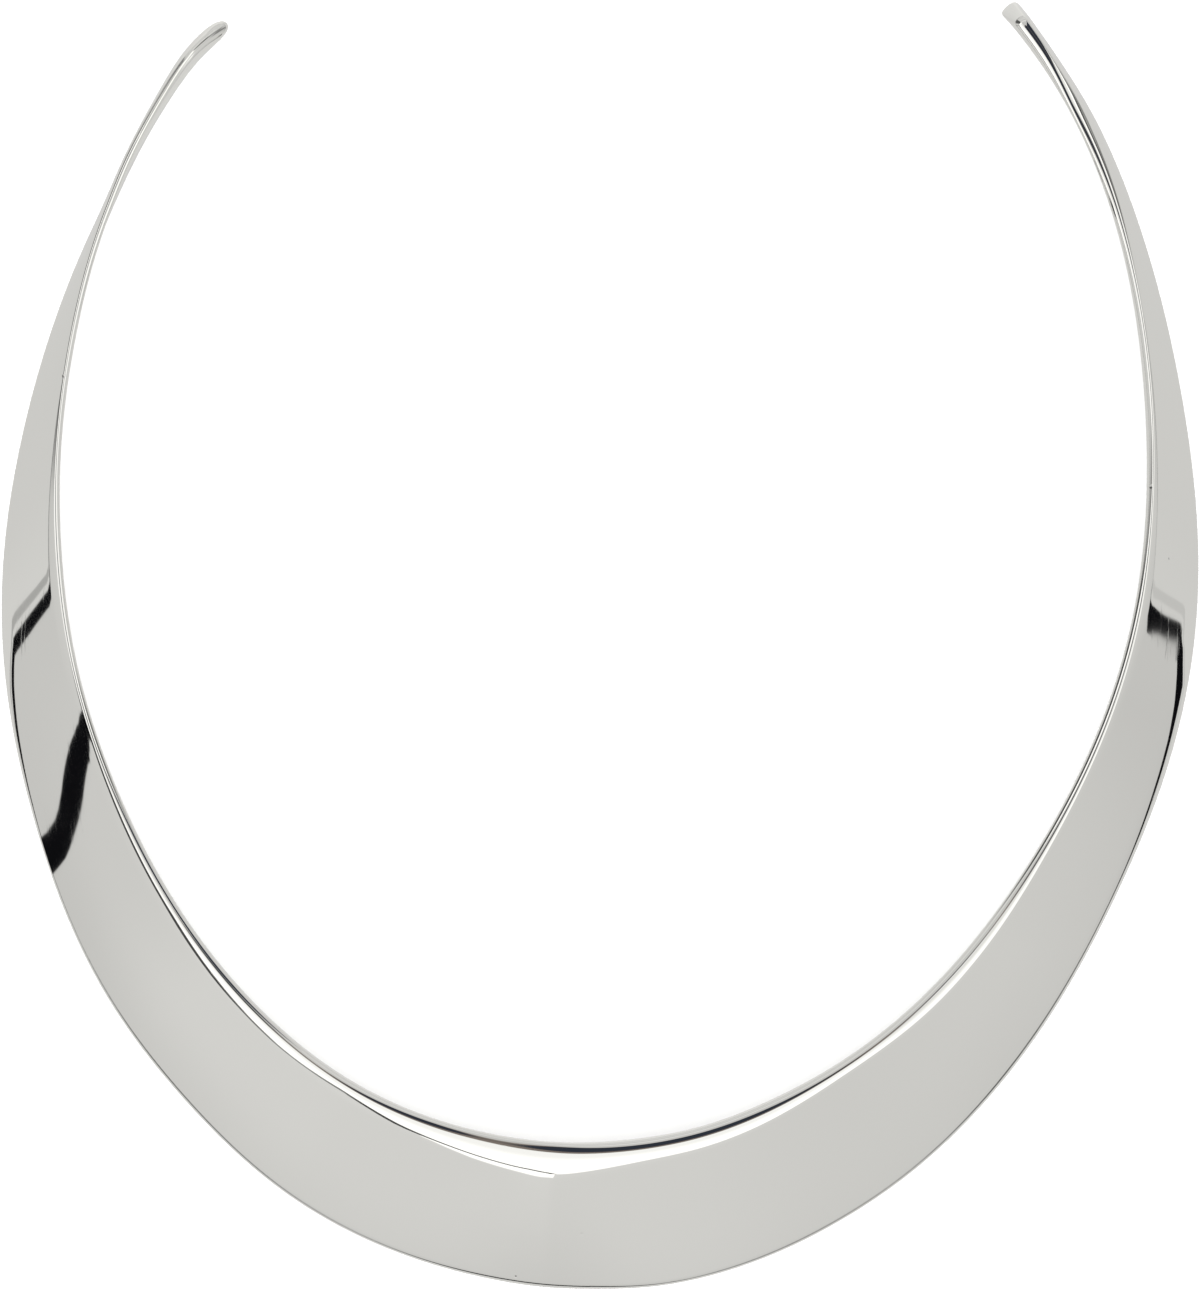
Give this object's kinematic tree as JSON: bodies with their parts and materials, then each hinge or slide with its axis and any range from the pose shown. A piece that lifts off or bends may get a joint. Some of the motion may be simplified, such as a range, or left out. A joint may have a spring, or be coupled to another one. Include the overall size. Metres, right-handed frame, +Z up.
{
  "type": "collar choker",
  "caption": "Rigid open neck collar of polished silver, a sloped band broad at the front that narrows to slim upright tips, put on from behind.",
  "frame": {"origin": "on the surface that the collar lies on, under the middle of its box", "axes": "+Z up, +Y from the broad front toward the open tips, +X toward the wearer's left, which is the right of a view from above"},
  "size_m": [0.1324, 0.1422, 0.0141],
  "materials": {
    "polished_silver": "mirror polish with faint hairline scratches"
  },
  "bodies": {
    "root": {"collar": "polished_silver"}
  },
  "joints": []
}
